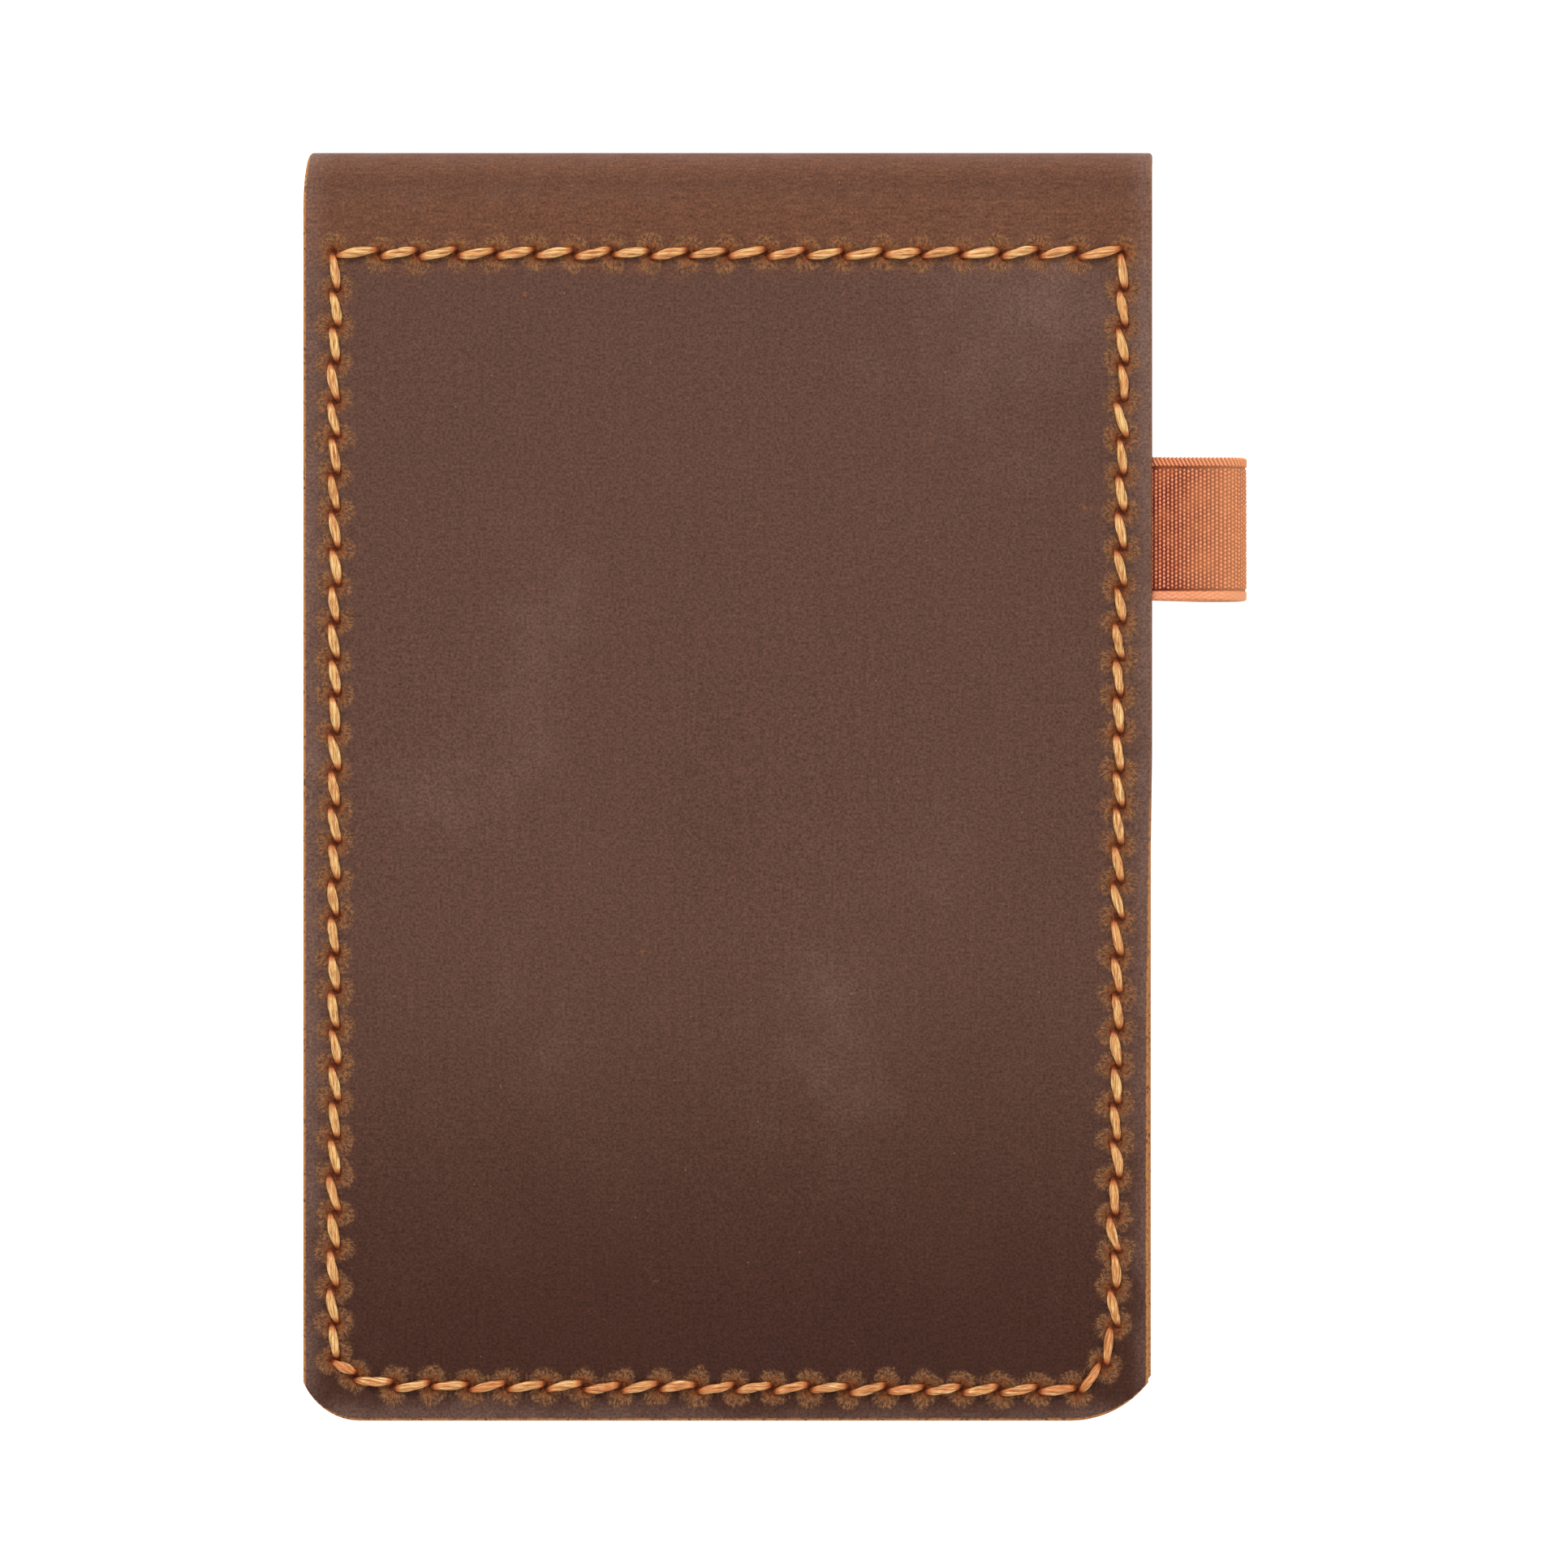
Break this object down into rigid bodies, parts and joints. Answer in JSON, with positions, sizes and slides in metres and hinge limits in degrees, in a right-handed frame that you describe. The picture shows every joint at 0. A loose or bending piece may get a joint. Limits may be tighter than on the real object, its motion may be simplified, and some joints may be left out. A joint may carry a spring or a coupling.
{
  "type": "leather notebook cover",
  "caption": "Closed leather cover for a top-bound memo pad, folded over its top edge, saddle stitched all round, with an elastic pen loop on its right side.",
  "frame": {"origin": "middle of the back panel's outer face, with the closed cover lying on its back", "axes": "+X to the right as seen from the front, +Y towards the fold, +Z from the back panel to the front panel"},
  "size_m": [0.1022, 0.138, 0.0148],
  "materials": {
    "leather_outer": "matte pull-up leather, dark brown",
    "leather_lining": "matte, mid brown",
    "thread": "waxed twisted thread, tan",
    "elastic": "woven elastic, rust orange",
    "board": "uncoated grey board",
    "paper": "uncoated ruled paper",
    "binding": "paper-backed book cloth"
  },
  "bodies": {
    "back": {"back_cover": "leather_outer", "back_lining": "leather_lining", "pad_pocket": "leather_lining", "back_thread_top": "thread", "back_thread_left": "thread", "back_thread_right": "thread", "back_thread_bottom": "thread", "pad_board": "board", "pad_sheets": "paper", "pad_binding": "binding"},
    "fold": {"spine": "leather_outer"},
    "front": {"front_cover": "leather_outer", "front_lining": "leather_lining", "card_pocket": "leather_lining", "front_thread_top": "thread", "front_thread_left": "thread", "front_thread_right": "thread", "front_thread_bottom": "thread", "pen_loop_tails": "elastic"},
    "loop": {"pen_loop": "elastic"}
  },
  "joints": [
    {"name": "cover_fold", "type": "hinge", "parent": "back", "child": "fold", "pos_m": [0, 0.06689, 0.00211], "axis": [-1, 0, 0], "range_deg": [0, 90]},
    {"name": "cover_fold_upper", "type": "hinge", "parent": "fold", "child": "front", "pos_m": [0, 0.06689, 0.01229], "axis": [-1, 0, 0], "range_deg": [0, 90]},
    {"name": "pen_loop_bend", "type": "hinge", "parent": "front", "child": "loop", "pos_m": [0.0462, 0.0277, 0.0128], "axis": [0, -1, 0], "range_deg": [-45, 45], "stiffness_Nm_per_rad": 0.02}
  ],
  "couplings": [
    {"joint": "cover_fold_upper", "follows": "cover_fold", "ratio": 1}
  ]
}
